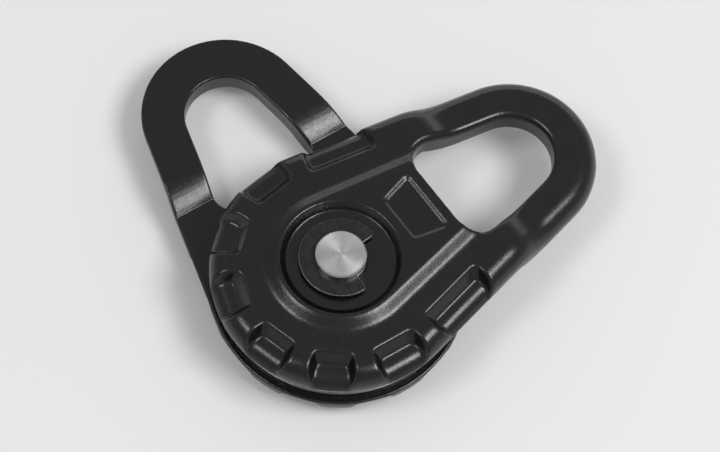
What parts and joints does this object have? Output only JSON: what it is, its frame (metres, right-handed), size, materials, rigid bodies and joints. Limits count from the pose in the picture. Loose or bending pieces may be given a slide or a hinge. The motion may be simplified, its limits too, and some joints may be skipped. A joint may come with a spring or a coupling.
{
  "type": "single sheave block",
  "caption": "Snatch block for a 9.5 mm rope: a grooved wheel on a clipped pin between swinging forged side plates, each with a shackle eye.",
  "frame": {"origin": "centre of the rope wheel, on the axle pin's axis, halfway between the two side plates", "axes": "+Z along the axle pin towards its proud end, +X from the pin towards the lower side plate's shackle eye, +Y completes a right-handed frame"},
  "size_m": [0.2066, 0.2064, 0.0508],
  "materials": {
    "black_coated_steel": "satin black powder coat on a drop forging",
    "zinc_plated_steel": "turned and zinc plated",
    "bronze": "machined bearing bronze",
    "turned_steel": "bright turned steel",
    "blackened_spring_steel": "phosphated spring steel",
    "washer_bronze": "rolled bronze sheet",
    "fitting_steel": "plated steel"
  },
  "bodies": {
    "lower_plate": {"lower_side_plate": "black_coated_steel"},
    "upper_plate": {"upper_side_plate": "black_coated_steel"},
    "wheel": {"sheave": "zinc_plated_steel", "sheave_bushing": "bronze"},
    "pin": {"axle_pin": "turned_steel", "upper_retaining_clip": "blackened_spring_steel", "lower_retaining_clip": "blackened_spring_steel", "grease_fitting": "fitting_steel"},
    "upper_washer": {"upper_thrust_washer": "washer_bronze"},
    "lower_washer": {"lower_thrust_washer": "washer_bronze"}
  },
  "joints": [
    {"name": "pin_turn", "type": "hinge", "parent": "lower_plate", "child": "pin", "pos_m": [0, 0, 0], "axis": [0, 0, 1], "continuous": true},
    {"name": "upper_plate_swing", "type": "hinge", "parent": "lower_plate", "child": "upper_plate", "pos_m": [0, 0, 0], "axis": [0, 0, 1], "continuous": true},
    {"name": "sheave_spin", "type": "hinge", "parent": "pin", "child": "wheel", "pos_m": [0, 0, 0], "axis": [0, 0, 1], "continuous": true},
    {"name": "upper_washer_turn", "type": "hinge", "parent": "pin", "child": "upper_washer", "pos_m": [0, 0, 0], "axis": [0, 0, 1], "continuous": true},
    {"name": "lower_washer_turn", "type": "hinge", "parent": "pin", "child": "lower_washer", "pos_m": [0, 0, 0], "axis": [0, 0, 1], "continuous": true}
  ]
}
